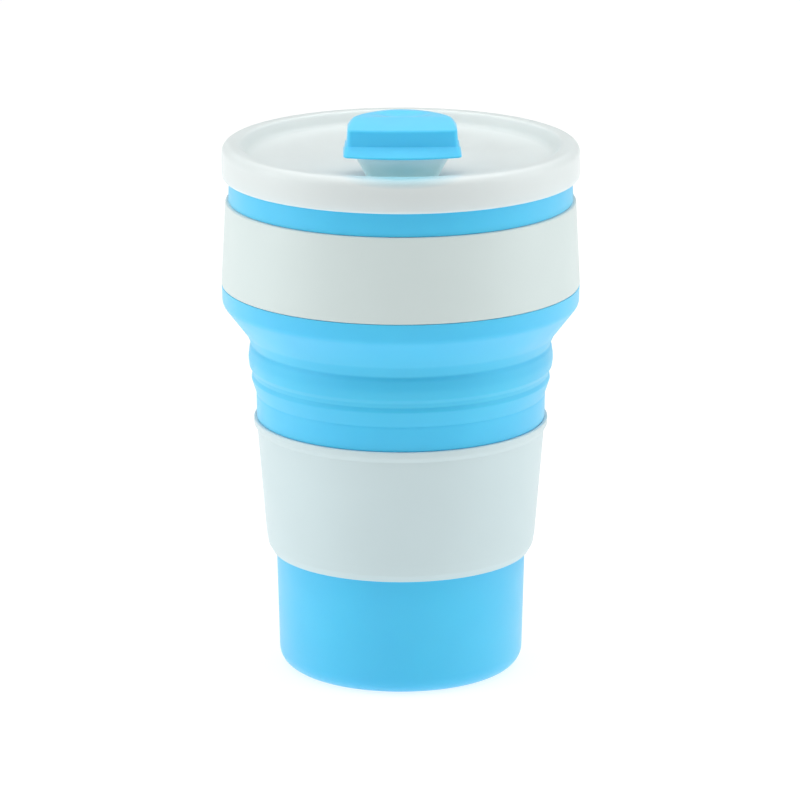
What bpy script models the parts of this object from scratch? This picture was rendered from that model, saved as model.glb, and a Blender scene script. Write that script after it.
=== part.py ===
"""Collapsible travel cup.

A silicone cup that folds down into itself, with a plastic grip sleeve, a plastic support band,
a sip lid that snaps over the rim, and a silicone stopper that plugs the spout.
Metres, +Z up. The origin is the centre of the foot, on the surface that the cup stands on.
The spout faces -Y.
"""

import math

import bmesh
import bpy

MM = 0.001

# ---- Driving dimensions ---------------------------------------------------------------------

FACETS = 48                     # facets around every turned piece
FIT = 0.3 * MM                  # gap between pieces that sit against each other
RUNNING = 0.3 * MM              # gap between pieces that pass each other as the cup folds

# Lower cup
LOWER_RADIUS = 33.5 * MM        # outside of the wall where the sleeve starts
FOOT_DRAFT = 0.8 * MM           # the wall is this much narrower just above the rounded foot
FOOT_CORNER = 6.0 * MM          # radius of the rounded foot
FOOT_RING_WIDTH = 3.5 * MM      # flat ring that the cup stands on
FOOT_RECESS = 0.8 * MM          # how far the middle of the underside is raised
CUP_WALL = 2.2 * MM
CUP_FLOOR = 3.2 * MM
COLLAR_STEP = 0.5 * MM          # the collar above the sleeve stands out this far from the wall inside it
COLLAR_HEIGHT = 8.0 * MM

# Grip sleeve
SLEEVE_START = 32.3 * MM        # height of its lower edge
SLEEVE_HEIGHT = 36.7 * MM
SLEEVE_WALL = 1.3 * MM
SLEEVE_FOOT = 5.0 * MM          # height of the rounded lower edge
SLEEVE_SWELL = 2.6 * MM         # growth in radius over the rounded lower edge
SLEEVE_DRAFT = 2.1 * MM         # growth in radius along the straight taper
LIP_HEIGHT = 4.0 * MM
LIP_FLARE = 1.2 * MM            # how far the lip stands out from the taper
LIP_WALL = 0.9 * MM

# Folding section: a stiff ring between two thin webs
WEB_WALL = 1.0 * MM
LOWER_WEB_HEIGHT = 5.5 * MM
RING_WALL = 1.0 * MM
RING_CROWN = 0.4 * MM           # how far the ring bulges in the middle of its height
RING_HEIGHT = 6.8 * MM
UPPER_WEB_HEIGHT = 8.2 * MM

# Upper wall
NEST_GAP = 2.7 * MM             # room inside the upper wall around the folding ring
SHOULDER_HEIGHT = 8.0 * MM
SHOULDER_BULGE = 2.4 * MM       # growth in radius from the fold up to the band
SHOULDER_EDGE = 1.3 * MM        # straight part of the shoulder, just under the band
GROOVE_WALL = 2.8 * MM          # silicone behind the band at its lower edge
RIM_STRIP = 6.4 * MM            # silicone strip between the band and the lid
RIM_DRAFT = 0.2 * MM            # the strip narrows this much up to the lid

# Support band
BAND_HEIGHT = 22.7 * MM
BAND_WALL = 1.3 * MM
BAND_DRAFT = 1.2 * MM           # the band is this much narrower at its top
BAND_CHAMFER = 0.5 * MM
BAND_PROUD_LOW = 0.1 * MM       # the band stands out this far from the shoulder below it
BAND_PROUD_HIGH = 0.8 * MM      # and this far from the rim strip above it

# Lid
LID_HEIGHT = 9.0 * MM
LID_WALL = 1.6 * MM
LID_TOP_CORNER = 2.5 * MM
LID_LOWER_CORNER = 1.9 * MM
DISH_DEPTH = 3.4 * MM           # depth of the dished middle below the ledge around it
DISH_MARGIN = 1.2 * MM          # the dish's floor ends this far inside the plug skirt
DISH_SLOPE = 2.2 * MM           # width of the sloping wall around the dish
PLUG_DEPTH = 11.0 * MM          # skirt inside the cup, below the roof of the rim channel
PLUG_WALL = 1.4 * MM

# Spout
SPOUT_RISE = 3.55 * MM          # top of the spout above the ledge
SPOUT_FOOT_WIDTH = 17.6 * MM
SPOUT_TOP_WIDTH = 24.4 * MM
SPOUT_INSET = 1.9 * MM          # the mouth's front is this far inside the edge of the dish's floor
SPOUT_LEAN = 1.2 * MM           # the front wall is this much further in at its foot
SPOUT_DEPTH = 18.1 * MM         # front to back of the mouth
SPOUT_WALL = 1.8 * MM
SPOUT_ARCH = 0.62               # share of the way from back to front where the arched back starts

# Stopper
FLANGE_SIDE = 3.05 * MM         # the flange stands out this far from the mouth at each side
FLANGE_LIP = 2.4 * MM           # at the front
FLANGE_TAIL = 5.2 * MM          # and at the back
FLANGE_EDGE = 0.7 * MM
SKIRT_HEIGHT = 2.65 * MM        # flange's underside to the foot of the thumb block
BODY_SIDE_STEP = 1.15 * MM      # the thumb block is set in this far from the flange at each side
BODY_FRONT_STEP = 3.8 * MM
BODY_BACK_STEP = 1.2 * MM
BODY_LEAN = 0.35 * MM           # each side leans in this far up to the top of the front face
BODY_HEIGHT = 7.15 * MM         # flange's underside to the top of the front face
CROWN_RISE = 1.6 * MM
CROWN_SETBACK = 7.7 * MM        # the crown starts this far behind the front face

# ---- Heights and radii that follow from them ------------------------------------------------

sleeve_top = SLEEVE_START + SLEEVE_HEIGHT
sleeve_lip = sleeve_top - LIP_HEIGHT
collar_top = sleeve_top + COLLAR_HEIGHT
ring_bottom = collar_top + LOWER_WEB_HEIGHT
ring_top = ring_bottom + RING_HEIGHT
shoulder_bottom = ring_top + UPPER_WEB_HEIGHT
band_bottom = shoulder_bottom + SHOULDER_HEIGHT
band_top = band_bottom + BAND_HEIGHT
lid_bottom = band_top + RIM_STRIP
lid_top = lid_bottom + LID_HEIGHT
channel_roof = lid_top - LID_WALL
dish_floor = lid_top - DISH_DEPTH
spout_top = lid_top + SPOUT_RISE
flange_bottom = spout_top + FIT

sleeve_low = LOWER_RADIUS + SLEEVE_SWELL
sleeve_high = sleeve_low + SLEEVE_DRAFT
lip_radius = sleeve_high + LIP_FLARE
foot_radius = LOWER_RADIUS - FOOT_DRAFT
collar_radius = lip_radius - LIP_WALL - FIT + COLLAR_STEP
ring_inner = lip_radius + RUNNING
ring_outer = ring_inner + RING_WALL
upper_inner = ring_outer + NEST_GAP
groove_low = upper_inner + GROOVE_WALL
groove_high = groove_low - BAND_DRAFT
band_outer_low = groove_low + FIT + BAND_WALL
band_outer_high = band_outer_low - BAND_DRAFT
shoulder_radius = band_outer_low - BAND_PROUD_LOW
rim_radius = band_outer_high - BAND_PROUD_HIGH
rim_top_radius = rim_radius - RIM_DRAFT
channel_outer = rim_top_radius + FIT
lid_radius = channel_outer + LID_WALL
plug_outer = upper_inner - FIT
plug_inner = plug_outer - PLUG_WALL
dish_edge = plug_inner - DISH_MARGIN
ledge_inner = dish_edge + DISH_SLOPE

spout_front = dish_edge - SPOUT_INSET
spout_back = spout_front - SPOUT_DEPTH
flange_width = SPOUT_TOP_WIDTH + 2 * FLANGE_SIDE
flange_front = spout_front + FLANGE_LIP
flange_back = spout_back - FLANGE_TAIL
body_width = flange_width - 2 * BODY_SIDE_STEP
body_front = flange_front - BODY_FRONT_STEP
body_back = flange_back + BODY_BACK_STEP


# ---- Modelling helpers ----------------------------------------------------------------------

def clear_scene():
    for old in list(bpy.data.objects):
        bpy.data.objects.remove(old, do_unlink=True)


def finish(colour_name, colour, roughness):
    material = bpy.data.materials.new(colour_name)
    material.use_nodes = True
    shader = material.node_tree.nodes["Principled BSDF"]
    shader.inputs["Base Color"].default_value = (*colour, 1.0)
    shader.inputs["Roughness"].default_value = roughness
    shader.inputs["Metallic"].default_value = 0.0
    material.diffuse_color = (*colour, 1.0)
    return material


def add_object(name, shape, material):
    """Turn a bmesh into a named object with outward faces and smooth round sides."""
    bmesh.ops.remove_doubles(shape, verts=shape.verts, dist=0.00001)
    bmesh.ops.recalc_face_normals(shape, faces=shape.faces)
    mesh = bpy.data.meshes.new(name)
    shape.to_mesh(mesh)
    shape.free()
    mesh.shade_smooth()
    mesh.set_sharp_from_angle(angle=math.radians(35))
    mesh.materials.append(material)
    piece = bpy.data.objects.new(name, mesh)
    bpy.context.scene.collection.objects.link(piece)
    return piece


def arc(centre, radii, start, end, steps):
    """Points (r, z) on an elliptical arc, with angles in degrees from +r towards +z."""
    points = []
    for step in range(steps + 1):
        angle = math.radians(start + (end - start) * step / steps)
        points.append((centre[0] + radii[0] * math.cos(angle), centre[1] + radii[1] * math.sin(angle)))
    return points


def turned(name, outline, material):
    """A turned piece: an outline of (r, z) points spun round the Z axis."""
    shape = bmesh.new()
    verts = [shape.verts.new((r, 0.0, z)) for r, z in outline]
    edges = [shape.edges.new(pair) for pair in zip(verts, verts[1:])]
    if outline[0][0] > 0.0:
        edges.append(shape.edges.new((verts[-1], verts[0])))
    bmesh.ops.spin(shape, geom=verts + edges, cent=(0, 0, 0), axis=(0, 0, 1), dvec=(0, 0, 0),
                   angle=math.tau, steps=FACETS, use_merge=True, use_duplicate=False)
    return add_object(name, shape, material)


def sip_outline(width, front, back, height):
    """One level of the spout or stopper: a front arc round the lid's axis and an arched back."""
    half = width / 2
    front_steps = 6
    back_steps = 12
    points = []
    for step in range(front_steps + 1):
        x = -half + width * step / front_steps
        points.append((x, -math.sqrt(front ** 2 - x ** 2), height))
    middle = -(front * SPOUT_ARCH + back * (1 - SPOUT_ARCH))
    for step in range(back_steps + 1):
        angle = math.pi * step / back_steps
        points.append((half * math.cos(angle), middle + (-back - middle) * math.sin(angle), height))
    return points


def lofted(name, levels, material):
    """A closed solid through a stack of outlines with equal numbers of points, lowest first."""
    shape = bmesh.new()
    rings = [[shape.verts.new(point) for point in level] for level in levels]
    for low, high in zip(rings, rings[1:]):
        for index in range(len(low)):
            after = (index + 1) % len(low)
            shape.faces.new((low[index], low[after], high[after], high[index]))
    shape.faces.new(list(reversed(rings[0])))
    shape.faces.new(rings[-1])
    return add_object(name, shape, material)


def boolean(piece, tool, operation):
    tool.hide_render = True
    tool.display_type = "WIRE"
    step = piece.modifiers.new(operation.lower() + "_" + tool.name, "BOOLEAN")
    step.operation = operation
    step.solver = "EXACT"
    step.object = tool


# ---- Pieces ---------------------------------------------------------------------------------

def sleeve_inside():
    """Inside of the grip sleeve, bottom to top, as (r, z); the lower cup fits inside it."""
    return [(LOWER_RADIUS + FIT, SLEEVE_START),
            (sleeve_low - SLEEVE_WALL, SLEEVE_START + SLEEVE_FOOT),
            (sleeve_high - SLEEVE_WALL, sleeve_lip - LIP_FLARE),
            (lip_radius - LIP_WALL, sleeve_lip + LIP_FLARE / 2),
            (lip_radius - LIP_WALL, sleeve_top)]


def make_lower_cup(silicone):
    corner = arc((foot_radius - FOOT_CORNER, FOOT_CORNER), (FOOT_CORNER, FOOT_CORNER), -90, 0, 5)
    ring_in = foot_radius - FOOT_CORNER - FOOT_RING_WIDTH
    seat = [(r - FIT, z) for r, z in sleeve_inside()]
    outside = corner + seat + [(collar_radius, sleeve_top + COLLAR_HEIGHT * 0.6),
                               (collar_radius, collar_top - FIT)]
    wall = [(r - CUP_WALL, z) for r, z in reversed(outside) if z > FOOT_CORNER * 1.5]
    inner_corner = FOOT_CORNER - CUP_WALL / 2
    inside_floor = arc((foot_radius - CUP_WALL - inner_corner, CUP_FLOOR + inner_corner),
                       (inner_corner, inner_corner), 0, -90, 4)
    outline = [(0.0, FOOT_RECESS), (ring_in - FOOT_RECESS, FOOT_RECESS), (ring_in, 0.0)]
    outline += outside + wall + inside_floor + [(0.0, CUP_FLOOR)]
    return turned("lower_cup", outline, silicone)


def make_grip_sleeve(plastic):
    inside = sleeve_inside()
    foot = arc((sleeve_low - SLEEVE_SWELL * 0.7, SLEEVE_START + SLEEVE_FOOT),
               (SLEEVE_SWELL * 0.7, SLEEVE_FOOT), -90, 0, 4)
    outside = foot + [(sleeve_high, sleeve_lip - LIP_FLARE), (lip_radius, sleeve_lip),
                      (lip_radius, sleeve_top - LIP_WALL / 2), (lip_radius - LIP_WALL / 2, sleeve_top)]
    return turned("grip_sleeve", outside + list(reversed(inside)), plastic)


def make_lower_web(silicone):
    """Thin hinge between the collar and the folding ring."""
    bottom = collar_top + FIT
    top = ring_bottom - FIT
    knee = bottom + (top - bottom) / 3
    outline = [(collar_radius, bottom), (collar_radius, knee),
               (ring_inner + WEB_WALL / 2, top), (ring_inner - WEB_WALL / 2, top),
               (collar_radius - WEB_WALL, knee), (collar_radius - WEB_WALL, bottom)]
    return turned("lower_fold_web", outline, silicone)


def make_fold_ring(silicone):
    edge = ring_outer - RING_CROWN
    crown = ring_bottom + RING_HEIGHT * 0.4
    outline = [(ring_inner, ring_bottom), (edge, ring_bottom), (ring_outer, crown),
               (edge, ring_top), (ring_inner, ring_top)]
    return turned("fold_ring", outline, silicone)


def make_upper_web(silicone):
    """Thin sloping hinge between the folding ring and the upper wall."""
    bottom = ring_top + FIT
    top = shoulder_bottom - FIT
    edge = ring_outer - RING_CROWN
    knee = bottom + (top - bottom) / 5
    out = shoulder_radius - SHOULDER_BULGE
    slant = 1.5 * WEB_WALL      # the web's width measured level, where it slopes
    outline = [(edge, bottom), (edge + WEB_WALL / 2, knee), (out, top),
               (out - slant, top), (edge - WEB_WALL / 2, knee + WEB_WALL / 2), (edge - WEB_WALL, bottom)]
    return turned("upper_fold_web", outline, silicone)


def make_upper_wall(silicone):
    curve_top = band_bottom - FIT - SHOULDER_EDGE
    shoulder = arc((shoulder_radius - SHOULDER_BULGE, curve_top),
                   (SHOULDER_BULGE, curve_top - shoulder_bottom), -90, 0, 4)
    outline = shoulder + [(shoulder_radius, band_bottom - FIT), (groove_low, band_bottom - FIT),
                          (groove_high, band_top + FIT), (rim_radius, band_top + FIT),
                          (rim_top_radius, lid_bottom), (rim_top_radius, channel_roof - FIT),
                          (upper_inner, channel_roof - FIT), (upper_inner, shoulder_bottom)]
    return turned("upper_wall", outline, silicone)


def make_support_band(plastic):
    outline = [(groove_low + FIT, band_bottom), (band_outer_low - BAND_CHAMFER, band_bottom),
               (band_outer_low, band_bottom + BAND_CHAMFER), (band_outer_high, band_top - BAND_CHAMFER),
               (band_outer_high - BAND_CHAMFER, band_top), (groove_high + FIT, band_top)]
    return turned("support_band", outline, plastic)


def make_lid(plastic):
    top_corner = arc((lid_radius - LID_TOP_CORNER, lid_top - LID_TOP_CORNER),
                     (LID_TOP_CORNER, LID_TOP_CORNER), 90, 0, 4)
    lower_width = lid_radius - channel_outer
    lower_corner = arc((channel_outer, lid_bottom + LID_LOWER_CORNER),
                       (lower_width, LID_LOWER_CORNER), 0, -90, 3)
    plug_bottom = channel_roof - PLUG_DEPTH
    outline = [(0.0, dish_floor), (dish_edge, dish_floor), (ledge_inner, lid_top)]
    outline += top_corner + lower_corner
    outline += [(channel_outer, channel_roof), (plug_outer, channel_roof), (plug_outer, plug_bottom),
                (plug_inner, plug_bottom), (plug_inner, dish_floor - LID_WALL), (0.0, dish_floor - LID_WALL)]
    lid = turned("lid", outline, plastic)

    buried = dish_floor - LID_WALL / 2
    spout_foot = sip_outline(SPOUT_FOOT_WIDTH, spout_front - SPOUT_LEAN, spout_back, buried)
    spout_mouth = sip_outline(SPOUT_TOP_WIDTH, spout_front, spout_back, spout_top)
    spout = lofted("spout_form", [spout_foot, spout_mouth], plastic)
    boolean(lid, spout, "UNION")
    hole = lofted("drinking_hole", [hole_outline(dish_floor - 2 * LID_WALL, 0.0),
                                    hole_outline(spout_top + LID_WALL, 0.0)], plastic)
    boolean(lid, hole, "DIFFERENCE")
    return lid


def hole_outline(height, inset):
    """The drinking hole through the spout, or with an inset the stem that plugs it."""
    around = SPOUT_WALL + inset
    front = spout_front - SPOUT_LEAN - around
    return sip_outline(SPOUT_FOOT_WIDTH - 2 * around, front, spout_back + around, height)


def make_stopper(silicone):
    skirt_top = flange_bottom + SKIRT_HEIGHT
    body_top = flange_bottom + BODY_HEIGHT
    levels = [hole_outline(dish_floor - LID_WALL, FIT),
              hole_outline(flange_bottom, FIT),
              sip_outline(flange_width, flange_front, flange_back, flange_bottom),
              sip_outline(flange_width, flange_front, flange_back, flange_bottom + FLANGE_EDGE),
              sip_outline(body_width, body_front, body_back, skirt_top),
              sip_outline(body_width - 2 * BODY_LEAN, body_front, body_back, body_top),
              sip_outline(body_width - 6 * BODY_LEAN, body_front - CROWN_SETBACK, body_back + 2 * BODY_LEAN,
                          body_top + CROWN_RISE)]
    return lofted("stopper", levels, silicone)


def main():
    clear_scene()
    blue = finish("blue_silicone", (0.12, 0.54, 0.83), 0.55)
    white = finish("white_plastic", (0.84, 0.87, 0.87), 0.4)
    frosted = finish("frosted_plastic", (0.88, 0.91, 0.91), 0.3)
    make_lower_cup(blue)
    make_grip_sleeve(white)
    make_lower_web(blue)
    make_fold_ring(blue)
    make_upper_web(blue)
    make_upper_wall(blue)
    make_support_band(white)
    make_lid(frosted)
    make_stopper(blue)


main()
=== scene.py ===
"""Collapsible travel cup: the visible pieces, their finishes, and a plain studio around them."""

import math

import bpy
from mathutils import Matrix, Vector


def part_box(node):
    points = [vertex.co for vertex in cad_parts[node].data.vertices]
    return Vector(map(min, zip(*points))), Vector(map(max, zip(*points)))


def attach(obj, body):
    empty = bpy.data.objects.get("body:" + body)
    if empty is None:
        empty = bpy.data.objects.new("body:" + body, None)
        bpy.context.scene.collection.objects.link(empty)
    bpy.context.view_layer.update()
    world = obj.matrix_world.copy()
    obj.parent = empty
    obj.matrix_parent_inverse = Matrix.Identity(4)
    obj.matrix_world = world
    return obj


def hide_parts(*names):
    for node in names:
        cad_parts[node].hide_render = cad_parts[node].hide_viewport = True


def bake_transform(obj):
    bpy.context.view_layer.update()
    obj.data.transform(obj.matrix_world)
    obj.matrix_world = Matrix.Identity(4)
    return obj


bl_info = {
    "name": "Collapsible Travel Cup",
    "version": (1, 0, 0),
    "blender": (4, 5, 0),
    "location": "3D View > Sidebar > Travel Cup",
    "description": "Models a folding silicone cup with its sleeve, band, sip lid and stopper",
    "category": "Add Mesh",
}

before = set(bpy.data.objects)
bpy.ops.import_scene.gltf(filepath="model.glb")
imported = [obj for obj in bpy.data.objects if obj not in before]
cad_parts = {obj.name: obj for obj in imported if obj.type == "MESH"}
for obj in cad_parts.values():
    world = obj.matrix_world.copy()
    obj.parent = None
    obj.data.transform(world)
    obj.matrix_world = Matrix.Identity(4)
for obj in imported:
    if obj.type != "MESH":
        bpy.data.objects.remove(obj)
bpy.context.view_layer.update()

MM = 0.001

# ---- Studio ---------------------------------------------------------------------------------

CAMERA_DISTANCE = 1.3           # from the cup's axis
CAMERA_HEIGHT = 0.41925
CAMERA_ASIDE = 0.2 * MM         # shift of the camera towards -X
CAMERA_PITCH = 14.92            # degrees that it looks down
CAMERA_TURN = -0.7              # degrees round the cup from the spout's side, -X being negative
CAMERA_LENS = 225.5             # focal length and frame width, in millimetres
CAMERA_FRAME = 36.0

FLOOR_SIZE = 12.0
FLOOR_GAP = 0.05 * MM           # the floor lies this far under the foot
FLOOR_GLOW = 0.75               # keeps the floor even and pale around the cup
FLOOR_PATCH = 0.4               # size of the floor's uneven patches

# Softboxes: place, power in watts, width and height, and the point that they are aimed at
LEFT_PLACE, LEFT_POWER = (-0.80, -0.12, 0.35), 3.35
RIGHT_PLACE, RIGHT_POWER = (0.80, -0.12, 0.35), 2.9
SIDE_SOFTBOX, SIDE_TARGET = (0.7, 0.9), (0.0, 0.0, 0.08)
TOP_PLACE, TOP_POWER = (0.0, 0.13, 1.3), 19.8
TOP_SOFTBOX, TOP_TARGET = (2.0, 2.0), (0.0, 0.0, 0.0)
WORLD_STRENGTH = 0.22


# ---- Sizes taken from the loaded pieces -----------------------------------------------------

def extent(node):
    """A CAD piece's largest radius, lowest height and highest height."""
    low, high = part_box(node)
    return high[0], low[2], high[2]


CUP_RADIUS, FOOT, COLLAR_TOP = extent("lower_cup")
LIP_RADIUS, SLEEVE_FOOT, SLEEVE_TOP = extent("grip_sleeve")
RING_RADIUS, RING_FOOT, RING_TOP = extent("fold_ring")
SHOULDER_RADIUS, SHOULDER_FOOT, RIM_TOP = extent("upper_wall")
BAND_RADIUS, BAND_FOOT, BAND_TOP = extent("support_band")
LID_RADIUS, PLUG_FOOT, SPOUT_TOP = extent("lid")
FLANGE_HALF, STEM_FOOT, STOPPER_TOP = extent("stopper")
FLANGE_FRONT = -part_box("stopper")[0][1]
FLANGE_BACK = -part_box("stopper")[1][1]

# Cup body
FOOT_DRAFT = 0.8 * MM           # the wall is this much narrower just above the rounded foot
FOOT_RING_WIDTH = 3.5 * MM      # flat ring that the cup stands on
FOOT_RECESS = 0.8 * MM          # how far the middle of the underside is raised
CUP_FLOOR = 3.2 * MM
LOWER_RADIUS = LIP_RADIUS - 5.9 * MM    # outside of the wall below the sleeve
SLEEVE_STEP = 1.0 * MM          # growth in radius from the lower wall to the wall inside the sleeve
SLEEVE_TAPER = 2.1 * MM         # growth in radius along the wall inside the sleeve
COLLAR_GAP = 0.12 * MM          # the collar starts this far above the sleeve's lip
NEST_GAP = 2.7 * MM             # room inside the upper wall around the folding ring
RIM_RADIUS = BAND_RADIUS - 2.0 * MM     # outside of the strip above the band
RIM_STRIP = 6.4 * MM            # silicone strip between the band and the lid
RIM_DRAFT = 0.2 * MM            # the strip narrows this much up to the lid
FOLD_PITCH = 0.45 * MM          # rings of faces on the folding part are at most this far apart
WALL_PITCH = 4.0 * MM           # and on the rest of the body, this far
SHELL_PITCH = 5.0 * MM          # and on the sleeve and the band, this far

# Sleeve and band
LIP_WALL = 0.9 * MM
SLEEVE_MOUTH = LIP_RADIUS - 5.5 * MM    # inside of the sleeve's lower edge
SLEEVE_FOOT_HEIGHT = 5.0 * MM   # height of the sleeve's rounded lower edge
BAND_DRAFT = 1.2 * MM           # the band is this much narrower at its top
BAND_SEAM = 0.05 * MM           # open seam between the band and the silicone above and below it

# Lid and its spout
PLUG_WALL = 1.4 * MM            # wall of the skirt that plugs the rim from inside
DISH_MARGIN = 1.2 * MM          # the dish's floor ends this far inside the plug skirt
DISH_SLOPE = 2.2 * MM           # width of the slope from the dish up to the ledge
MOUTH_HALF = FLANGE_HALF - 3.05 * MM    # half width of the spout's upper edge
MOUTH_FRONT = FLANGE_FRONT - 2.4 * MM   # distance of its front from the lid's axis
MOUTH_BACK = FLANGE_BACK + 5.2 * MM     # and of its back
MOUTH_WALL = 1.8 * MM           # plastic between the spout's outside and the hole, at sides and back
MOUTH_FRONT_WALL = 3.0 * MM     # and at the front
SPOUT_FOOT_HALF = MOUTH_HALF - 3.6 * MM
SPOUT_ARCH = MOUTH_FRONT - 8.0 * MM     # where the arched back of the spout starts
SPOUT_SHARES = (0.0, 0.25, 0.5, 0.75, 0.93, 1.0)    # its levels, as shares of its height
SPOUT_CURVE = 1.3               # the spout flares little at its foot and more towards its top
SPOUT_EDGE = 0.25 * MM          # rounding of its upper edge
SPOUT_FRONT_LEAN = 1.2 * MM     # its foot stands back this far from its upper edge at the front
SPOUT_BACK_LEAN = 0.4 * MM      # and this far at the back
SPOUT_BOW = 1.9 * MM
SPOUT_CORNER = 2.5 * MM

# Stopper
FLANGE_ARCH = FLANGE_FRONT - 13.2 * MM  # where the arched back of the flange starts
FLANGE_BOW = 2.7 * MM           # the front of the flange is bowed out this far
FLANGE_CORNER = 1.4 * MM
BLOCK_SIDE = 0.85 * MM          # the thumb block stands this far inside the flange at each side
BLOCK_FRONT = 3.8 * MM          # and this far at the front
BLOCK_BACK = 1.2 * MM           # and this far at the back
BLOCK_BOW = 0.9 * MM
BLOCK_CORNER = 1.2 * MM
BLOCK_DROP = 1.75 * MM          # its front face ends this far below its highest point
BLOCK_TOP = (                   # its top: how far in at front, sides and back, and how far down
    (4.6 * MM, 1.1 * MM, 0.6 * MM, 0.8 * MM),
    (7.7 * MM, 1.9 * MM, 1.2 * MM, 0.15 * MM),
    (8.6 * MM, 2.7 * MM, 1.9 * MM, 0.0),
)
INNER_BOW = 0.1                 # levels drawn in by a millimetre or more keep this share of the bow
STEM_BOW = 0.8 * MM
STEM_CORNER = 1.5 * MM
BROW_ROUND = 0.9 * MM           # radius of the edge above that face
BROW_ANGLES = (0.0, 20.0, 40.0, 60.0, 78.0)     # degrees round that edge
THUMB_RADIUS = 4.0 * MM         # radius of the ball that presses the shallow thumb dish
THUMB_STRETCH = (2.9, 1.65, 1.0)
THUMB_PLACE = (0.0, -FLANGE_BACK - 9.0 * MM, STOPPER_TOP + 3.2 * MM)

# Painted light on the milky lid: blue light from the stopper painted around the stem, with a faint
# painted glow there, and a painted reflection of the stopper, with painted shade, on the ledge before the
# spout.
# Each tint is full up to the nearer distance of its reach and gone past the farther one, with
# distances along X, Y and Z multiplied by its weights. A tint's share is how much it covers.
# painted light: blue light from the stopper painted into the lid's colour around the stem, and a faint
# painted glow (emission)
STEM_PAINTED_LIGHT, STEM_PAINTED_LIGHT_SHARE = (0.62, 0.80, 0.88), 0.8
STEM_PAINTED_GLOW = (0.03, 0.08, 0.06)
STEM_CENTRE = (0.0, 2.0 * MM - MOUTH_FRONT, SPOUT_TOP - 4.0 * MM)
STEM_WEIGHTS = (0.62, 1.0, 0.8)
STEM_REACH = 4.0 * MM, 10.0 * MM
# painted reflection of the blue stopper, with painted shade, on the ledge before the spout
LEDGE_PAINTED_REFLECTION, LEDGE_PAINTED_REFLECTION_SHARE = (0.30, 0.62, 0.74), 0.9
LEDGE_CENTRE = (0.0, -MOUTH_FRONT - 5.5 * MM, SPOUT_TOP - 3.0 * MM)
LEDGE_WEIGHTS = (0.36, 0.8, 1.7)
LEDGE_REACH = 1.6 * MM, 5.8 * MM

# Fineness of the curves
ARC_STEP = 8.0                  # degrees between the points of a rounded corner
LONGEST_FILLET = 0.49           # a fillet takes up at most this share of the run beside it
NEARLY_STRAIGHT = 0.01          # a corner that turns by less than this, in radians, isn't rounded
FRONT_STEPS = 10                # steps along the front of an outline of the spout or stopper
CORNER_STEPS = 5                # round each of its front corners
BACK_STEPS = 26                 # and round its arched back


# ---- Sizes and colours that a user would change ---------------------------------------------

def length(name, description, default):
    """A size property, in metres."""
    return bpy.props.FloatProperty(name=name, description=description, default=default,
                                   min=0.0, unit="LENGTH", precision=4)


def colour(name, description, default):
    """A colour property."""
    return bpy.props.FloatVectorProperty(name=name, description=description, default=default,
                                         subtype="COLOR", size=3, min=0.0, max=1.0)


class CupSizes(bpy.types.PropertyGroup):
    """Walls, edges and fineness of the cup's pieces."""
    around: bpy.props.IntProperty(name="Facets Around", description="Facets around each turned piece",
                                  default=160, min=24, max=256)
    cup_wall: length("Cup Wall", "Silicone wall of the lower cup", 2.2 * MM)
    fold_wall: length("Fold Wall", "Thin silicone of the folding steps", 0.9 * MM)
    foot_corner: length("Foot Corner", "Radius of the rounded foot", 6.0 * MM)
    sleeve_wall: length("Sleeve Wall", "Plastic of the grip sleeve", 1.3 * MM)
    band_wall: length("Band Wall", "Plastic of the support band", 1.3 * MM)
    lid_wall: length("Lid Wall", "Plastic of the lid", 1.6 * MM)
    lid_height: length("Lid Height", "Height of the lid's side", 9.0 * MM)
    spout_rise: length("Spout Rise", "Height of the spout above the lid's ledge", 3.55 * MM)
    dish_depth: length("Dish Depth", "Depth of the lid's dished middle", 3.4 * MM)
    fit: length("Fit", "Gap between pieces that sit against each other", 0.3 * MM)


class CupColours(bpy.types.PropertyGroup):
    """Colours of the cup's materials."""
    silicone: colour("Silicone", "Soft-touch silicone of the cup and stopper", (0.062, 0.61, 1.0))
    plastic: colour("Plastic", "White plastic of the band", (0.68, 0.775, 0.76))
    # the sleeve's colour is white plastic with painted light in it: the blue that the silicone behind the
    # thin plastic lends it
    sleeve: colour("Sleeve", "White plastic of the sleeve, bluish from the silicone behind it",
                   (0.635, 0.765, 0.785))
    frosted: colour("Frosted Plastic", "Milky plastic of the lid", (0.775, 0.865, 0.855))
    floor: colour("Floor", "Floor of the studio", (0.35, 0.35, 0.35))


# ---- Outlines -------------------------------------------------------------------------------

def rounded(corners):
    """Points (radius, height) along a run of corners (radius, height, fillet), rounded by arcs."""
    points = [corners[0][:2]]
    for before, (r, z, fillet), after in zip(corners, corners[1:], corners[2:]):
        back = (before[0] - r, before[1] - z)
        ahead = (after[0] - r, after[1] - z)
        back_run, ahead_run = math.hypot(*back), math.hypot(*ahead)
        back = (back[0] / back_run, back[1] / back_run)
        ahead = (ahead[0] / ahead_run, ahead[1] / ahead_run)
        between = math.acos(max(-1.0, min(1.0, back[0] * ahead[0] + back[1] * ahead[1])))
        if fillet <= 0.0 or between > math.pi - NEARLY_STRAIGHT:
            points.append((r, z))
            continue
        longest = LONGEST_FILLET * min(back_run, ahead_run)
        tangent = min(fillet / math.tan(between / 2), longest)
        radius = tangent * math.tan(between / 2)
        reach = math.hypot(tangent, radius)
        middle = (back[0] + ahead[0], back[1] + ahead[1])
        scale = reach / math.hypot(*middle)
        centre = (r + middle[0] * scale, z + middle[1] * scale)
        start = math.atan2(z + back[1] * tangent - centre[1], r + back[0] * tangent - centre[0])
        turn = math.pi - between
        if back[0] * ahead[1] - back[1] * ahead[0] > 0.0:
            turn = -turn
        steps = max(2, math.ceil(abs(math.degrees(turn)) / ARC_STEP))
        for step in range(steps + 1):
            angle = start + turn * step / steps
            points.append((centre[0] + radius * math.cos(angle), centre[1] + radius * math.sin(angle)))
    points.append(corners[-1][:2])
    return points


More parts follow.
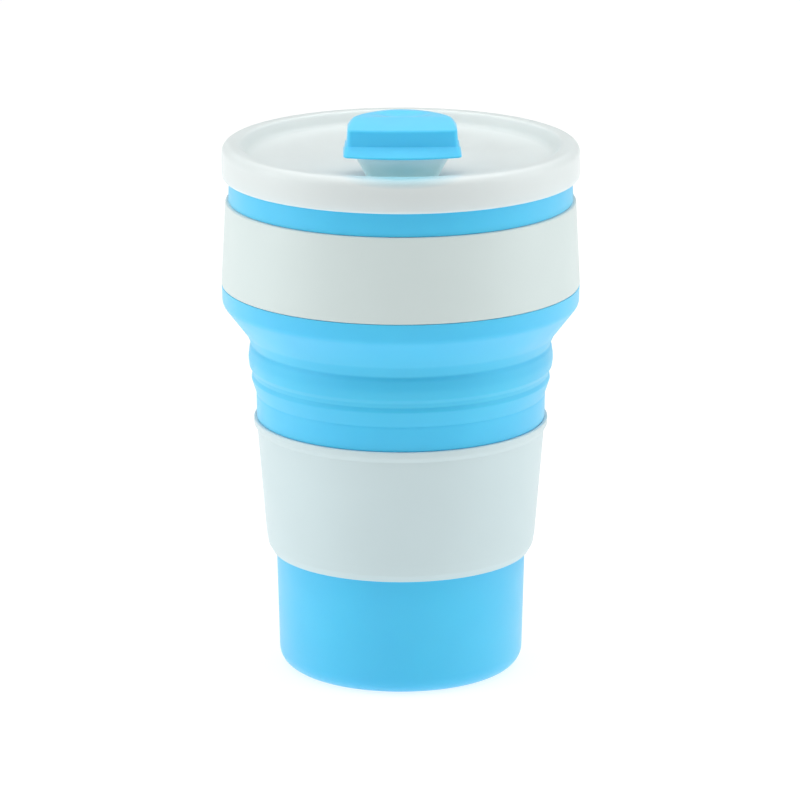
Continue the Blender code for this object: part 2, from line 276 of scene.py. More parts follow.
def finer(points, low, high, pitch):
    """The same run of points, with more of them on the stretches between two heights."""
    result = [points[0]]
    for here, there in zip(points, points[1:]):
        crossing = min(here[1], there[1]) < high and max(here[1], there[1]) > low
        run = math.dist(here, there)
        steps = max(1, math.ceil(run / pitch)) if crossing else 1
        for step in range(1, steps + 1):
            share = step / steps
            result.append((here[0] + (there[0] - here[0]) * share, here[1] + (there[1] - here[1]) * share))
    return result


def sip_outline(half, front, bow, back, corner, arch, height, pointed=1.0):
    """One level of the spout or stopper: a bowed front, rounded front corners and an arched back.

    Front, back and arch are distances from the lid's axis; the arched back starts at arch.
    The back is half an ellipse where pointed is 1, and a parabola where it is 2.
    """
    inner = half - corner
    corner_y = -front + bow * (inner / half) ** 2 + corner
    points = []
    for step in range(FRONT_STEPS + 1):
        x = inner * (2.0 * step / FRONT_STEPS - 1.0)
        points.append((x, -front + bow * (x / half) ** 2, height))
    for step in range(1, CORNER_STEPS + 1):
        angle = math.radians(90.0 * step / CORNER_STEPS - 90.0)
        points.append((inner + corner * math.cos(angle), corner_y + corner * math.sin(angle), height))
    for step in range(BACK_STEPS + 1):
        angle = math.pi * step / BACK_STEPS
        reach = max(0.0, math.sin(angle)) ** pointed
        points.append((half * math.cos(angle), -arch + (arch - back) * reach, height))
    for step in range(CORNER_STEPS):
        angle = math.radians(180.0 + 90.0 * step / CORNER_STEPS)
        points.append((-inner + corner * math.cos(angle), corner_y + corner * math.sin(angle), height))
    return points


def stem_shape(clearance):
    """Half width, front, bow, back, corner and arch of the drinking hole, or of the stem inside it."""
    half = SPOUT_FOOT_HALF - MOUTH_WALL - clearance
    front = MOUTH_FRONT - MOUTH_FRONT_WALL - clearance
    back = MOUTH_BACK + MOUTH_WALL + clearance
    return half, front, STEM_BOW, back, STEM_CORNER, SPOUT_ARCH


def shrunk(shape, front, side=None, back=None):
    """The same outline, drawn in by some distance at the front, at each side and at the back."""
    side = front if side is None else side
    back = side if back is None else back
    half, nose, bow, tail, corner, arch = shape
    nose -= front
    if front >= MM:
        bow *= INNER_BOW
    return half - side, nose, bow, tail + back, corner, min(arch, nose - 2 * MM)


# ---- Modelling, as by hand ------------------------------------------------------------------

def clear_selection():
    """Leaves edit mode and deselects every object."""
    if bpy.context.mode != "OBJECT":
        bpy.ops.object.mode_set(mode="OBJECT")
    bpy.ops.object.select_all(action="DESELECT")


def start_piece(name, place):
    """A single vertex at a place, in edit mode, ready to be extruded."""
    clear_selection()
    bpy.ops.mesh.primitive_plane_add(size=MM, location=place)
    piece = bpy.context.object
    piece.name = name
    piece.data.name = name
    bpy.ops.object.transform_apply(location=True, rotation=True, scale=True)
    bpy.ops.object.mode_set(mode="EDIT")
    bpy.ops.mesh.merge(type="CENTER")
    return piece


def draw(points):
    """Extrudes the selected vertex along a run of points."""
    for here, there in zip(points, points[1:]):
        step = tuple(b - a for a, b in zip(here, there))
        bpy.ops.mesh.extrude_vertices_move(TRANSFORM_OT_translate={"value": step})


def turned(name, outline, around):
    """A turned piece: its outline of (radius, height) points is drawn, then spun round Z."""
    route = [(r, 0.0, z) for r, z in outline]
    piece = start_piece(name, route[0])
    draw(route)
    bpy.ops.mesh.select_all(action="SELECT")
    bpy.ops.mesh.spin(steps=around, angle=math.tau, center=(0, 0, 0), axis=(0, 0, 1))
    bpy.ops.mesh.select_all(action="SELECT")
    bpy.ops.mesh.remove_doubles(threshold=0.005 * MM)
    bpy.ops.mesh.normals_make_consistent(inside=False)
    bpy.ops.object.mode_set(mode="OBJECT")
    return piece


def pick(piece, numbers):
    """Selects, in edit mode, the vertices with some numbers."""
    bpy.ops.mesh.select_all(action="DESELECT")
    bpy.ops.object.mode_set(mode="OBJECT")
    for number in numbers:
        piece.data.vertices[number].select = True
    bpy.ops.object.mode_set(mode="EDIT")
    bpy.ops.mesh.select_mode(type="VERT")


def lofted(name, levels):
    """A closed piece through a stack of outlines, each drawn as a loop, then bridged and capped."""
    piece = start_piece(name, levels[0][0])
    size = len(levels[0])
    for number, level in enumerate(levels):
        first = number * size
        if number:
            pick(piece, [first - size])
            step = tuple(b - a for a, b in zip(levels[number - 1][0], level[0]))
            bpy.ops.mesh.duplicate_move(TRANSFORM_OT_translate={"value": step})
        draw(level)
        pick(piece, [first, first + size - 1])
        bpy.ops.mesh.edge_face_add()
        if number:
            pick(piece, range(first - size, first + size))
            bpy.ops.mesh.bridge_edge_loops(type="SINGLE")
    for first in (0, size * (len(levels) - 1)):
        pick(piece, range(first, first + size))
        bpy.ops.mesh.edge_face_add()
    bpy.ops.mesh.select_all(action="SELECT")
    bpy.ops.mesh.normals_make_consistent(inside=False)
    bpy.ops.object.mode_set(mode="OBJECT")
    return piece


def combine(piece, tool, operation):
    """Joins another closed shape to a piece, or cuts it away, and removes the shape."""
    clear_selection()
    bpy.context.view_layer.objects.active = piece
    piece.select_set(True)
    step = piece.modifiers.new(operation.lower(), "BOOLEAN")
    step.operation = operation
    step.solver = "EXACT"
    step.object = tool
    bpy.ops.object.modifier_apply(modifier=step.name)
    bpy.data.objects.remove(tool, do_unlink=True)


def smooth(piece, angle=40.0):
    """Shades a piece smooth, except over edges that turn by more than an angle in degrees."""
    clear_selection()
    piece.select_set(True)
    bpy.context.view_layer.objects.active = piece
    bpy.ops.object.shade_smooth_by_angle(angle=math.radians(angle))


def settle(piece, body, slot, material, *nodes):
    """Gives a finished piece its finish, the CAD body that it moves with and the nodes it stands for."""
    piece.data.materials.clear()
    piece.data.materials.append(material)
    if body:
        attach(piece, body)
    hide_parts(*nodes)


# ---- Materials ------------------------------------------------------------------------------

def new_material(name, base):
    """A material, its node tree, its shader, and the place on the object that patterns start from."""
    material = bpy.data.materials.new(name)
    material.use_nodes = True
    tree = material.node_tree
    shader = tree.nodes["Principled BSDF"]
    shader.inputs["Base Color"].default_value = (*base, 1.0)
    place = tree.nodes.new("ShaderNodeTexCoord")
    return material, tree, shader, place.outputs["Object"]


def noise(tree, place, size, detail=2.0):
    """A noise pattern whose lumps are about size across, in metres."""
    node = tree.nodes.new("ShaderNodeTexNoise")
    node.inputs["Scale"].default_value = 1.0 / size
    node.inputs["Detail"].default_value = detail
    tree.links.new(place, node.inputs["Vector"])
    return node.outputs["Fac"]


def spread(tree, value, low, high, from_low=0.3, from_high=0.7):
    """Maps a range of a pattern's values, or of a distance, onto low to high."""
    node = tree.nodes.new("ShaderNodeMapRange")
    node.inputs["From Min"].default_value = from_low
    node.inputs["From Max"].default_value = from_high
    node.inputs["To Min"].default_value = low
    node.inputs["To Max"].default_value = high
    tree.links.new(value, node.inputs["Value"])
    return node.outputs["Result"]


def distance(tree, place, centre, weights):
    """How far a place is from a centre, with each axis given its own weight."""
    scale = tree.nodes.new("ShaderNodeMapping")
    scale.vector_type = "POINT"
    scale.inputs["Scale"].default_value = weights
    scale.inputs["Location"].default_value = tuple(-a * b for a, b in zip(centre, weights))
    tree.links.new(place, scale.inputs["Vector"])
    measure = tree.nodes.new("ShaderNodeVectorMath")
    measure.operation = "LENGTH"
    tree.links.new(scale.outputs["Vector"], measure.inputs[0])
    return measure.outputs["Value"]


def blend_colours(tree, factor, first, second):
    """A mix of two colours, each one fixed or the output of another node."""
    node = tree.nodes.new("ShaderNodeMix")
    node.data_type = "RGBA"
    tree.links.new(factor, node.inputs["Factor"])
    for socket, value in ((node.inputs["A"], first), (node.inputs["B"], second)):
        if isinstance(value, bpy.types.NodeSocket):
            tree.links.new(value, socket)
        else:
            socket.default_value = (*value, 1.0)
    return node.outputs["Result"]


def bump(tree, shader, *layers):
    """Stacks bump layers of (height pattern, depth in metres)."""
    normal = None
    for height, depth in layers:
        node = tree.nodes.new("ShaderNodeBump")
        node.inputs["Strength"].default_value = 1.0
        node.inputs["Distance"].default_value = depth
        tree.links.new(height, node.inputs["Height"])
        if normal is not None:
            tree.links.new(normal, node.inputs["Normal"])
        normal = node.outputs["Normal"]
    tree.links.new(normal, shader.inputs["Normal"])


def clouded(tree, place, base, size, darkest, lightest):
    """A colour that drifts between a darker and a lighter share of itself."""
    clouds = spread(tree, noise(tree, place, size), 0.0, 1.0)
    dark, light = (tuple(min(1.0, channel * share) for channel in base)
                   for share in (darkest, lightest))
    return blend_colours(tree, clouds, dark, light)


def uneven_gloss(tree, shader, place, size, low, high, detail=4.0):
    """Varies a shader's roughness between low and high, in patches of about a size."""
    gloss = spread(tree, noise(tree, place, size, detail), low, high)
    tree.links.new(gloss, shader.inputs["Roughness"])


def soft_silicone(name, base):
    """Soft-touch silicone: even colour with faint clouding, a fine matt grain and a little depth."""
    material, tree, shader, place = new_material(name, base)
    tint = clouded(tree, place, base, size=24 * MM, darkest=0.97, lightest=1.03)
    tree.links.new(tint, shader.inputs["Base Color"])
    uneven_gloss(tree, shader, place, size=9 * MM, low=0.44, high=0.56)
    waves = noise(tree, place, 16 * MM, detail=1.0)
    grain = noise(tree, place, 0.35 * MM, detail=3.0)
    bump(tree, shader, (waves, 0.10 * MM), (grain, 0.010 * MM))
    shader.inputs["Subsurface Weight"].default_value = 0.25
    shader.inputs["Subsurface Radius"].default_value = (0.25, 0.8, 1.0)
    shader.inputs["Subsurface Scale"].default_value = 2.5 * MM
    shader.inputs["Specular IOR Level"].default_value = 0.45
    shader.inputs["Sheen Weight"].default_value = 0.42
    shader.inputs["Sheen Roughness"].default_value = 0.5
    return material


def satin_plastic(name, base):
    """Satin moulded plastic: a fine spark-eroded grain with faint flow clouding."""
    material, tree, shader, place = new_material(name, base)
    tint = clouded(tree, place, base, size=30 * MM, darkest=0.985, lightest=1.01)
    tree.links.new(tint, shader.inputs["Base Color"])
    uneven_gloss(tree, shader, place, size=12 * MM, low=0.38, high=0.48)
    waves = noise(tree, place, 14 * MM, detail=1.0)
    grain = noise(tree, place, 0.25 * MM, detail=3.0)
    bump(tree, shader, (waves, 0.05 * MM), (grain, 0.006 * MM))
    shader.inputs["Subsurface Weight"].default_value = 0.12
    shader.inputs["Subsurface Radius"].default_value = (1.0, 1.0, 1.0)
    shader.inputs["Subsurface Scale"].default_value = 2.0 * MM
    return material


def frosted_plastic(name, base):
    """Milky lid plastic: light spreads inside it; blue light from the stopper and a faint glow are painted
    around the stem, and a painted reflection and shade of the stopper lie on the ledge before the spout.
    """
    material, tree, shader, place = new_material(name, base)
    tint = clouded(tree, place, base, size=22 * MM, darkest=0.98, lightest=1.01)
    # painted light around the stem: blue light from the stopper mixed into the base colour
    from_stem = distance(tree, place, STEM_CENTRE, STEM_WEIGHTS)
    stem_painted_light_mask = spread(tree, from_stem, STEM_PAINTED_LIGHT_SHARE, 0.0, *STEM_REACH)
    tint = blend_colours(tree, stem_painted_light_mask, tint, STEM_PAINTED_LIGHT)
    # painted reflection and shade of the stopper on the ledge, mixed into the base colour
    from_ledge = distance(tree, place, LEDGE_CENTRE, LEDGE_WEIGHTS)
    ledge_painted_reflection_mask = spread(tree, from_ledge, LEDGE_PAINTED_REFLECTION_SHARE, 0.0, *LEDGE_REACH)
    tint = blend_colours(tree, ledge_painted_reflection_mask, tint, LEDGE_PAINTED_REFLECTION)
    tree.links.new(tint, shader.inputs["Base Color"])
    # painted glow around the stem: emission on a lid that is no lamp
    light = blend_colours(tree, stem_painted_light_mask, (0.0, 0.0, 0.0), STEM_PAINTED_GLOW)
    tree.links.new(light, shader.inputs["Emission Color"])
    shader.inputs["Emission Strength"].default_value = 1.0
    uneven_gloss(tree, shader, place, size=10 * MM, low=0.28, high=0.38)
    waves = noise(tree, place, 12 * MM, detail=1.0)
    grain = noise(tree, place, 0.3 * MM, detail=3.0)
    bump(tree, shader, (waves, 0.06 * MM), (grain, 0.005 * MM))
    shader.inputs["Subsurface Weight"].default_value = 0.5
    shader.inputs["Subsurface Radius"].default_value = (1.0, 1.05, 1.05)
    shader.inputs["Subsurface Scale"].default_value = 5.0 * MM
    return material


def shared(name, maker, base):
    """The material with a name, made on its first use."""
    return bpy.data.materials.get(name) or maker(name, base)


# ---- Operators: one for each piece ----------------------------------------------------------

class TRAVELCUP_OT_silicone_body(bpy.types.Operator):
    """Model the folding silicone cup as one seamless moulding"""
    bl_idname = "travel_cup.silicone_body"
    bl_label = "Silicone Body"
    bl_options = {"REGISTER", "UNDO"}

    def execute(self, context):
        sizes = context.scene.travel_cup_sizes
        colours = context.scene.travel_cup_colours
        wall, thin, fit = sizes.cup_wall, sizes.fold_wall, sizes.fit
        sleeve_low = SLEEVE_FOOT + SLEEVE_FOOT_HEIGHT
        foot_radius = LOWER_RADIUS - FOOT_DRAFT
        foot_ring = foot_radius - sizes.foot_corner - FOOT_RING_WIDTH
        inside_lip = LIP_RADIUS - LIP_WALL - fit
        inside_low = LOWER_RADIUS + SLEEVE_STEP
        inside_high = inside_low + SLEEVE_TAPER
        groove_low = BAND_RADIUS - sizes.band_wall - fit
        groove_high = groove_low - BAND_DRAFT
        rim = RIM_RADIUS - RIM_DRAFT
        inner = RING_RADIUS + NEST_GAP
        outside = [
            # raised middle of the underside, ring that the cup stands on, rounded foot
            (0.0, FOOT + FOOT_RECESS, 0.0),
            (foot_ring - 0.8 * MM, FOOT + FOOT_RECESS, 0.6 * MM),
            (foot_ring, FOOT, 0.4 * MM),
            (foot_radius, FOOT, sizes.foot_corner),
            # wall below the sleeve, and inside it
            (LOWER_RADIUS, SLEEVE_FOOT - 1.0 * MM, 2.0 * MM),
            (inside_low, sleeve_low, 3.0 * MM),
            (inside_high, SLEEVE_TOP - 4.8 * MM, 1.5 * MM),
            (inside_lip, SLEEVE_TOP - 1.8 * MM, 1.0 * MM),
            (inside_lip, SLEEVE_TOP - 0.3 * MM, 0.1 * MM),
            # collar above the sleeve's lip
            (CUP_RADIUS - 0.1 * MM, SLEEVE_TOP + COLLAR_GAP, 0.15 * MM),
            (CUP_RADIUS, COLLAR_TOP - 1.4 * MM, 0.4 * MM),
            (CUP_RADIUS - 0.08 * MM, COLLAR_TOP - 1.0 * MM, 0.3 * MM),
            # lowest step of the fold, and the ridge above it
            (CUP_RADIUS + 0.70 * MM, COLLAR_TOP + 1.3 * MM, 4.0 * MM),
            (CUP_RADIUS + 1.30 * MM, RING_FOOT - 2.6 * MM, 0.8 * MM),
            (CUP_RADIUS + 0.95 * MM, RING_FOOT - 1.4 * MM, 0.5 * MM),
            (CUP_RADIUS + 1.25 * MM, RING_FOOT - 0.2 * MM, 0.35 * MM),
            # folding ring
            (RING_RADIUS - 0.15 * MM, RING_FOOT + 0.9 * MM, 0.8 * MM),
            (RING_RADIUS + 0.10 * MM, RING_FOOT + 3.2 * MM, 6.0 * MM),
            (RING_RADIUS - 0.30 * MM, RING_TOP - 0.8 * MM, 2.0 * MM),
            (RING_RADIUS - 0.65 * MM, RING_TOP + 0.2 * MM, 0.8 * MM),
            # slope out to the shoulder, up to the band
            (RING_RADIUS + 0.45 * MM, RING_TOP + 2.9 * MM, 3.0 * MM),
            (SHOULDER_RADIUS - 0.10 * MM, SHOULDER_FOOT + 3.1 * MM, 2.8 * MM),
            (SHOULDER_RADIUS, BAND_FOOT - 1.0 * MM, 1.5 * MM),
            (SHOULDER_RADIUS + 0.05 * MM, BAND_FOOT - BAND_SEAM, 0.15 * MM),
            # groove for the band
            (groove_low, BAND_FOOT - BAND_SEAM, 0.2 * MM),
            (groove_high, BAND_TOP + BAND_SEAM, 0.2 * MM),
            # strip between the band and the lid, and the rim inside the lid
            (RIM_RADIUS, BAND_TOP + BAND_SEAM, 0.15 * MM),
            (rim, BAND_TOP + RIM_STRIP, 1.0 * MM),
            (rim, RIM_TOP, 1.0 * MM),
        ]
        inside = [
            # inner wall behind the band and the shoulder
            (inner, RIM_TOP, 1.0 * MM),
            (inner, SHOULDER_FOOT + 0.5 * MM, 3.0 * MM),
            # inner side of the fold
            (RING_RADIUS - 0.4 * MM, RING_TOP + 3.1 * MM, 2.0 * MM),
            (RING_RADIUS - 0.7 * MM - thin, RING_TOP + 0.2 * MM, 1.5 * MM),
            (RING_RADIUS + 0.1 * MM - thin, RING_FOOT + 3.0 * MM, 7.0 * MM),
            (RING_RADIUS - 0.2 * MM - thin, RING_FOOT + 0.2 * MM, 1.0 * MM),
            (CUP_RADIUS + 1.0 * MM - thin, RING_FOOT - 1.4 * MM, 1.0 * MM),
            (CUP_RADIUS + 1.1 * MM - thin, RING_FOOT - 2.9 * MM, 1.0 * MM),
            # inner wall and floor of the lower cup
            (CUP_RADIUS - wall, COLLAR_TOP - 1.0 * MM, 3.0 * MM),
            (inside_lip - wall, SLEEVE_TOP - 3.0 * MM, 2.0 * MM),
            (inside_high - wall, SLEEVE_TOP - 5.2 * MM, 2.0 * MM),
            (inside_low - wall, sleeve_low, 3.0 * MM),
            (LOWER_RADIUS - wall, SLEEVE_FOOT - 1.0 * MM, 3.0 * MM),
            (foot_radius - wall, FOOT + CUP_FLOOR, 4.9 * MM),
            (0.0, FOOT + CUP_FLOOR, 0.0),
        ]
        outline = rounded(outside + inside)
        outline = finer(outline, COLLAR_TOP - 2 * MM, SHOULDER_FOOT + 3 * MM, FOLD_PITCH)
        outline = finer(outline, FOOT, RIM_TOP, WALL_PITCH)
        piece = turned("silicone_body", outline, sizes.around)
        smooth(piece)
        material = shared("soft_silicone", soft_silicone, colours.silicone)
        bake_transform(piece)
        settle(piece, None, "silicone", material, "lower_cup", "lower_fold_web", "fold_ring",
               "upper_fold_web", "upper_wall")
        return {"FINISHED"}


class TRAVELCUP_OT_grip_sleeve(bpy.types.Operator):
    """Model the white grip sleeve with its rounded foot and flared lip"""
    bl_idname = "travel_cup.grip_sleeve"
    bl_label = "Grip Sleeve"
    bl_options = {"REGISTER", "UNDO"}

    def execute(self, context):
        sizes = context.scene.travel_cup_sizes
        colours = context.scene.travel_cup_colours
        wall = sizes.sleeve_wall
        low = LIP_RADIUS - 3.25 * MM
        high = LIP_RADIUS - 0.9 * MM
        lip_inside = LIP_RADIUS - LIP_WALL
        outline = rounded([
            # rounded lower edge
            (SLEEVE_MOUTH, SLEEVE_FOOT + 1.0 * MM, 0.0),
            (SLEEVE_MOUTH, SLEEVE_FOOT, 0.2 * MM),
            (SLEEVE_MOUTH + 0.75 * MM, SLEEVE_FOOT, 0.3 * MM),
            (low - 0.45 * MM, SLEEVE_FOOT + 1.9 * MM, 1.2 * MM),
            # straight taper
            (low, SLEEVE_FOOT + 4.6 * MM, 4.0 * MM),
            (high, SLEEVE_TOP - 3.0 * MM, 0.8 * MM),
            # lip
            (LIP_RADIUS, SLEEVE_TOP - 1.7 * MM, 1.0 * MM),
            (LIP_RADIUS, SLEEVE_TOP, 0.35 * MM),
            (lip_inside, SLEEVE_TOP, 0.2 * MM),
            (lip_inside, SLEEVE_TOP - 2.0 * MM, 0.8 * MM),
            # inner side
            (high - wall, SLEEVE_TOP - 4.2 * MM, 1.0 * MM),
            (low - wall, SLEEVE_FOOT + SLEEVE_FOOT_HEIGHT, 2.0 * MM),
            (SLEEVE_MOUTH, SLEEVE_FOOT + 1.0 * MM, 0.0),
        ])
        outline = finer(outline, SLEEVE_FOOT, SLEEVE_TOP, SHELL_PITCH)
        piece = turned("sleeve_shell", outline, sizes.around)
        smooth(piece)
        material = shared("sleeve_plastic", satin_plastic, colours.sleeve)
        settle(piece, "sleeve", "white_plastic", material, "grip_sleeve")
        return {"FINISHED"}


class TRAVELCUP_OT_support_band(bpy.types.Operator):
    """Model the white band that keeps the upper wall round"""
    bl_idname = "travel_cup.support_band"
    bl_label = "Support Band"
    bl_options = {"REGISTER", "UNDO"}

    def execute(self, context):
        sizes = context.scene.travel_cup_sizes
        colours = context.scene.travel_cup_colours
        wall = sizes.band_wall
        top = BAND_RADIUS - BAND_DRAFT
        inner = BAND_RADIUS - wall
        outline = rounded([
            (inner, BAND_FOOT + 2.0 * MM, 0.0),
            (inner, BAND_FOOT, 0.3 * MM),
            (BAND_RADIUS, BAND_FOOT, 0.45 * MM),
            (top, BAND_TOP, 0.45 * MM),
            (top - wall, BAND_TOP, 0.3 * MM),
            (inner, BAND_FOOT + 2.0 * MM, 0.0),
        ])
        outline = finer(outline, BAND_FOOT, BAND_TOP, SHELL_PITCH)
        piece = turned("band_shell", outline, sizes.around)
        smooth(piece)
        material = shared("band_plastic", satin_plastic, colours.plastic)
        settle(piece, "upper", "white_plastic", material, "support_band")
        return {"FINISHED"}


class TRAVELCUP_OT_lid(bpy.types.Operator):
    """Model the frosted lid with its ledge, dish, rim channel, plug skirt and sip spout"""
    bl_idname = "travel_cup.lid"
    bl_label = "Lid"
    bl_options = {"REGISTER", "UNDO"}

    def execute(self, context):
        sizes = context.scene.travel_cup_sizes
        colours = context.scene.travel_cup_colours
        wall, fit = sizes.lid_wall, sizes.fit
        top = SPOUT_TOP - sizes.spout_rise
        bottom = top - sizes.lid_height
        dish = top - sizes.dish_depth
        roof = top - wall
        channel = LID_RADIUS - wall
        plug = RING_RADIUS + NEST_GAP - fit
        plug_inside = plug - PLUG_WALL
        dish_edge = plug_inside - DISH_MARGIN
        outline = rounded([
            # dish, ledge and side
            (0.0, dish, 0.0),
            (dish_edge, dish, 2.6 * MM),
            (dish_edge + DISH_SLOPE, top, 1.3 * MM),
            (LID_RADIUS, top, 2.6 * MM),
            (LID_RADIUS, bottom, 2.2 * MM),
            # channel that takes the cup's rim
            (channel, bottom, 0.25 * MM),
            (channel, roof, 0.3 * MM),
            (plug, roof, 0.3 * MM),
            # skirt that plugs the rim from inside, and the dish's underside
            (plug, PLUG_FOOT, 0.6 * MM),
            (plug_inside, PLUG_FOOT, 0.6 * MM),
            (plug_inside, dish - wall, 1.0 * MM),
            (0.0, dish - wall, 0.0),
        ])
        piece = turned("lid_shell", outline, sizes.around)

        foot = dish - wall / 2
        levels = []
        for share in SPOUT_SHARES:
            flare = share ** SPOUT_CURVE
            edge = SPOUT_EDGE if share == 1.0 else 0.0
            half = SPOUT_FOOT_HALF + (MOUTH_HALF - SPOUT_FOOT_HALF) * flare - edge
            front = MOUTH_FRONT - SPOUT_FRONT_LEAN * (1.0 - flare) - edge
            back = MOUTH_BACK + SPOUT_BACK_LEAN * (1.0 - flare) + edge
            height = foot + (SPOUT_TOP - foot) * share
            shape = half, front, SPOUT_BOW, back, SPOUT_CORNER, SPOUT_ARCH
            levels.append(sip_outline(*shape, height))
        combine(piece, lofted("spout_form", levels), "UNION")
        heights = dish - 2 * wall, SPOUT_TOP + wall
        hole = [sip_outline(*stem_shape(0.0), height) for height in heights]
        combine(piece, lofted("drinking_hole", hole), "DIFFERENCE")
        smooth(piece, angle=35.0)
        material = shared("milky_plastic", frosted_plastic, colours.frosted)
        settle(piece, "lid", "frosted_plastic", material, "lid")
        return {"FINISHED"}


class TRAVELCUP_OT_stopper(bpy.types.Operator):
    """Model the silicone stopper with its flange, thumb block and stem"""
    bl_idname = "travel_cup.stopper"
    bl_label = "Stopper"
    bl_options = {"REGISTER", "UNDO"}

    def execute(self, context):
        sizes = context.scene.travel_cup_sizes
        colours = context.scene.travel_cup_colours
        seat = SPOUT_TOP + sizes.fit
        stem = stem_shape(sizes.fit)
        flange = FLANGE_HALF, FLANGE_FRONT, FLANGE_BOW, FLANGE_BACK, FLANGE_CORNER, FLANGE_ARCH
        block = (FLANGE_HALF - BLOCK_SIDE, FLANGE_FRONT - BLOCK_FRONT, BLOCK_BOW,
                 FLANGE_BACK + BLOCK_BACK, BLOCK_CORNER, FLANGE_ARCH)
        levels = [
            # stem, from its foot up
            sip_outline(*shrunk(stem, 0.6 * MM), STEM_FOOT),
            sip_outline(*stem, STEM_FOOT + 1.2 * MM),
            sip_outline(*stem, seat),
            # flange over the spout's mouth, sloping up to the block
            sip_outline(*shrunk(flange, 0.2 * MM), seat),
            sip_outline(*flange, seat + 0.2 * MM),
            sip_outline(*flange, seat + 0.5 * MM),
            sip_outline(*shrunk(flange, 0.2 * MM), seat + 0.75 * MM),
            sip_outline(*shrunk(block, -0.35 * MM), seat + 2.35 * MM, pointed=1.4),
            sip_outline(*block, seat + 2.65 * MM, pointed=1.6),
        ]
        # rounded edge above the block's front face
        face_top = STOPPER_TOP - BLOCK_DROP
        for angle in BROW_ANGLES:
            inward = 0.05 * MM + BROW_ROUND * (1.0 - math.cos(math.radians(angle)))
            height = face_top - BROW_ROUND * (1.0 - math.sin(math.radians(angle)))
            shape = shrunk(block, inward, 0.2 * MM + 0.35 * inward)
            levels.append(sip_outline(*shape, height, pointed=1.7))
        # top, rising from that edge to the back
        for front, side, back, down in BLOCK_TOP:
            shape = shrunk(block, front, side, back)
            levels.append(sip_outline(*shape, STOPPER_TOP - down, pointed=1.8))
        piece = lofted("stopper_block", levels)
        clear_selection()
        bpy.ops.mesh.primitive_uv_sphere_add(segments=64, ring_count=48, radius=THUMB_RADIUS,
                                             location=THUMB_PLACE)
        dish = context.object
        dish.scale = THUMB_STRETCH
        bpy.ops.object.transform_apply(location=True, rotation=True, scale=True)
        combine(piece, dish, "DIFFERENCE")
        smooth(piece, angle=28.0)
        material = shared("soft_silicone", soft_silicone, colours.silicone)
        settle(piece, "stopper", "silicone", material, "stopper")
        return {"FINISHED"}


def add_light(name, place, target, size, watts):
    """A rectangular softbox at a place, aimed at a target."""
    clear_selection()
    bpy.ops.object.light_add(type="AREA", location=place)
    lamp = bpy.context.object
    lamp.name = name
    lamp.data.shape = "RECTANGLE"
    lamp.data.size, lamp.data.size_y = size
    lamp.data.energy = watts
    aim = lamp.location.copy()
    for axis in range(3):
        aim[axis] -= target[axis]
    lamp.rotation_euler = aim.to_track_quat("Z", "Y").to_euler()


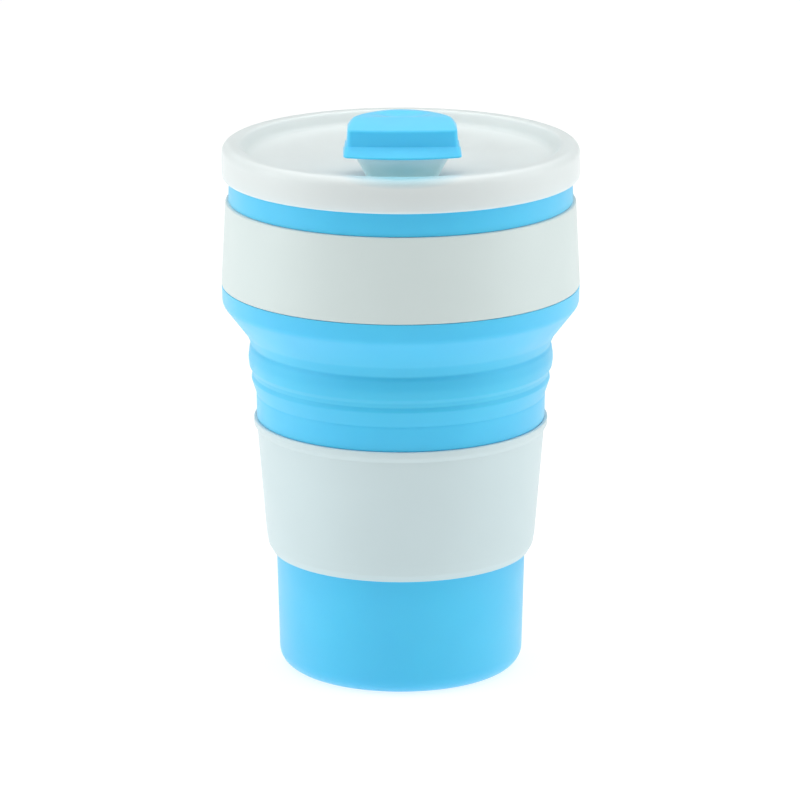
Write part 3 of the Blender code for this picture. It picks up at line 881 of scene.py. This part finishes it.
class TRAVELCUP_OT_stage(bpy.types.Operator):
    """Set up the floor, the soft studio lights and the camera"""
    bl_idname = "travel_cup.stage"
    bl_label = "Studio"
    bl_options = {"REGISTER", "UNDO"}

    def execute(self, context):
        colours = context.scene.travel_cup_colours
        clear_selection()
        bpy.ops.mesh.primitive_plane_add(size=FLOOR_SIZE, location=(0, 0, FOOT - FLOOR_GAP))
        floor = context.object
        floor.name = "studio_floor"
        material, tree, shader, place = new_material("studio_floor", colours.floor)
        shader.inputs["Specular IOR Level"].default_value = 0.1
        shader.inputs["Emission Color"].default_value = (1.0, 1.0, 1.0, 1.0)
        shader.inputs["Emission Strength"].default_value = FLOOR_GLOW
        uneven_gloss(tree, shader, place, size=FLOOR_PATCH, low=0.85, high=0.95, detail=2.0)
        floor.data.materials.append(material)

        add_light("left_box", LEFT_PLACE, SIDE_TARGET, SIDE_SOFTBOX, LEFT_POWER)
        add_light("right_box", RIGHT_PLACE, SIDE_TARGET, SIDE_SOFTBOX, RIGHT_POWER)
        add_light("top_box", TOP_PLACE, TOP_TARGET, TOP_SOFTBOX, TOP_POWER)

        world = bpy.data.worlds.new("studio_world")
        world.use_nodes = True
        backdrop = world.node_tree.nodes["Background"]
        backdrop.inputs["Color"].default_value = (1.0, 1.0, 1.0, 1.0)
        backdrop.inputs["Strength"].default_value = WORLD_STRENGTH
        context.scene.world = world
        context.scene.view_settings.view_transform = "Standard"

        clear_selection()
        turn = math.radians(CAMERA_TURN)
        place = (CAMERA_DISTANCE * math.sin(turn) - CAMERA_ASIDE, -CAMERA_DISTANCE * math.cos(turn),
                 CAMERA_HEIGHT)
        tilt = math.radians(90.0 - CAMERA_PITCH)
        bpy.ops.object.camera_add(location=place, rotation=(tilt, 0.0, turn))
        camera = context.object
        camera.name = "studio_camera"
        camera.data.lens = CAMERA_LENS
        camera.data.sensor_width = CAMERA_FRAME
        camera.data.dof.use_dof = False
        context.scene.camera = camera
        return {"FINISHED"}


class TRAVELCUP_PT_panel(bpy.types.Panel):
    """Lists the cup's sizes, colours and pieces"""
    bl_label = "Travel Cup"
    bl_idname = "TRAVELCUP_PT_panel"
    bl_space_type = "VIEW_3D"
    bl_region_type = "UI"
    bl_category = "Travel Cup"

    def draw(self, context):
        for settings in (context.scene.travel_cup_sizes, context.scene.travel_cup_colours):
            column = self.layout.column(align=True)
            for name in settings.__annotations__:
                column.prop(settings, name)
        column = self.layout.column(align=True)
        for step in STEPS:
            column.operator(step.bl_idname)


STEPS = (
    TRAVELCUP_OT_stage,
    TRAVELCUP_OT_silicone_body,
    TRAVELCUP_OT_grip_sleeve,
    TRAVELCUP_OT_support_band,
    TRAVELCUP_OT_lid,
    TRAVELCUP_OT_stopper,
)
CLASSES = (CupSizes, CupColours, *STEPS, TRAVELCUP_PT_panel)


def register():
    """Adds the sizes, colours, operators and panel to Blender."""
    for cls in CLASSES:
        bpy.utils.register_class(cls)
    bpy.types.Scene.travel_cup_sizes = bpy.props.PointerProperty(type=CupSizes)
    bpy.types.Scene.travel_cup_colours = bpy.props.PointerProperty(type=CupColours)


def unregister():
    """Takes them out again."""
    del bpy.types.Scene.travel_cup_colours
    del bpy.types.Scene.travel_cup_sizes
    for cls in reversed(CLASSES):
        bpy.utils.unregister_class(cls)


def main():
    """Models every piece around the loaded frame."""
    register()
    for step in STEPS:
        group, name = step.bl_idname.split(".")
        getattr(getattr(bpy.ops, group), name)()


if __name__ == "__main__":
    main()
